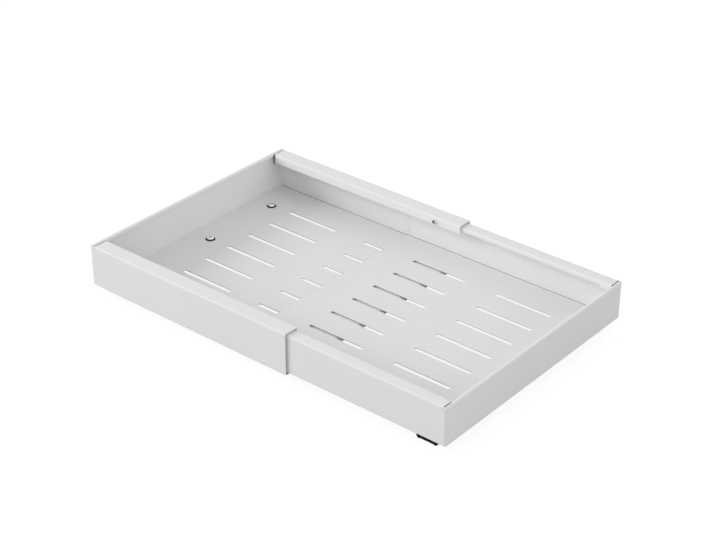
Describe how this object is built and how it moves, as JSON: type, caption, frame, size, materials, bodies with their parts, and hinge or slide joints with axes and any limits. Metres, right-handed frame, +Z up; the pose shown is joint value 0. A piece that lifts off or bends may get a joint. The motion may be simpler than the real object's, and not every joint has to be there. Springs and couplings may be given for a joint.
{
  "type": "pull-out drawer",
  "caption": "Width-adjustable pull-out drawer tray: nested slotted sheet-metal halves with folded rims, held by lock screws and riding on flat ball-bearing slides.",
  "frame": {"origin": "middle of the slides' undersides, with the tray pushed in and its halves drawn fully apart", "axes": "+X along the width from the outer (left) half to the inner (right) half, -Y the front, towards which the tray pulls out, +Z up"},
  "size_m": [0.5, 0.32, 0.061],
  "materials": {
    "white_coat": "white powder coat, satin, fine texture",
    "black_coat": "black electrophoretic coat, satin",
    "zinc": "bright zinc or nickel plate",
    "ball_steel": "polished bearing steel",
    "black_oxide": "black oxide",
    "rubber": "matt black moulded rubber"
  },
  "bodies": {
    "left_base": {"left_cabinet_rail": "black_coat", "left_rear_bumper": "rubber"},
    "left_half": {"left_tray": "white_coat", "left_drawer_rail": "black_coat", "left_tray_screw_front": "zinc", "left_tray_screw_middle": "zinc", "left_tray_screw_back": "zinc", "left_slide_nut_front": "zinc", "left_slide_nut_middle": "zinc", "left_slide_nut_back": "zinc"},
    "right_half": {"right_tray": "white_coat", "right_drawer_rail": "black_coat", "right_tray_screw_front": "zinc", "right_tray_screw_middle": "zinc", "right_tray_screw_back": "zinc", "right_slide_nut_front": "zinc", "right_slide_nut_middle": "zinc", "right_slide_nut_back": "zinc", "right_spacer_front": "zinc", "right_spacer_middle": "zinc", "right_spacer_back": "zinc"},
    "right_base": {"right_cabinet_rail": "black_coat", "right_rear_bumper": "rubber"},
    "left_cage": {"left_ball_cage": "zinc", "left_ball_1": "ball_steel", "left_ball_2": "ball_steel", "left_ball_3": "ball_steel", "left_ball_4": "ball_steel", "left_ball_5": "ball_steel", "left_ball_6": "ball_steel", "left_ball_7": "ball_steel", "left_ball_8": "ball_steel", "left_ball_9": "ball_steel", "left_ball_10": "ball_steel"},
    "right_cage": {"right_ball_cage": "zinc", "right_ball_1": "ball_steel", "right_ball_2": "ball_steel", "right_ball_3": "ball_steel", "right_ball_4": "ball_steel", "right_ball_5": "ball_steel", "right_ball_6": "ball_steel", "right_ball_7": "ball_steel", "right_ball_8": "ball_steel", "right_ball_9": "ball_steel", "right_ball_10": "ball_steel"},
    "front_lock": {"lock_screw_front": "black_oxide"},
    "back_lock": {"lock_screw_back": "black_oxide"}
  },
  "joints": [
    {"name": "pull_out", "type": "slide", "parent": "left_base", "child": "left_half", "axis": [0, -1, 0], "range_m": [0, 0.21]},
    {"name": "width_adjust", "type": "slide", "parent": "left_half", "child": "right_half", "axis": [1, 0, 0], "range_m": [-0.16, 0]},
    {"name": "right_rail_run", "type": "slide", "parent": "right_half", "child": "right_base", "axis": [0, 1, 0], "range_m": [0, 0.21]},
    {"name": "left_cage_roll", "type": "slide", "parent": "left_base", "child": "left_cage", "axis": [0, -1, 0], "range_m": [0, 0.105]},
    {"name": "right_cage_roll", "type": "slide", "parent": "right_half", "child": "right_cage", "axis": [0, 1, 0], "range_m": [0, 0.105]},
    {"name": "front_lock_turn", "type": "hinge", "parent": "left_half", "child": "front_lock", "pos_m": [0.006, -0.1405, 0.0546], "axis": [0, 1, 0], "range_deg": [0, 720]},
    {"name": "back_lock_turn", "type": "hinge", "parent": "left_half", "child": "back_lock", "pos_m": [0.006, 0.1405, 0.0546], "axis": [0, -1, 0], "range_deg": [0, 720]}
  ],
  "couplings": [
    {"joint": "right_rail_run", "follows": "pull_out", "ratio": 1},
    {"joint": "left_cage_roll", "follows": "pull_out", "ratio": 0.5},
    {"joint": "right_cage_roll", "follows": "pull_out", "ratio": 0.5}
  ]
}
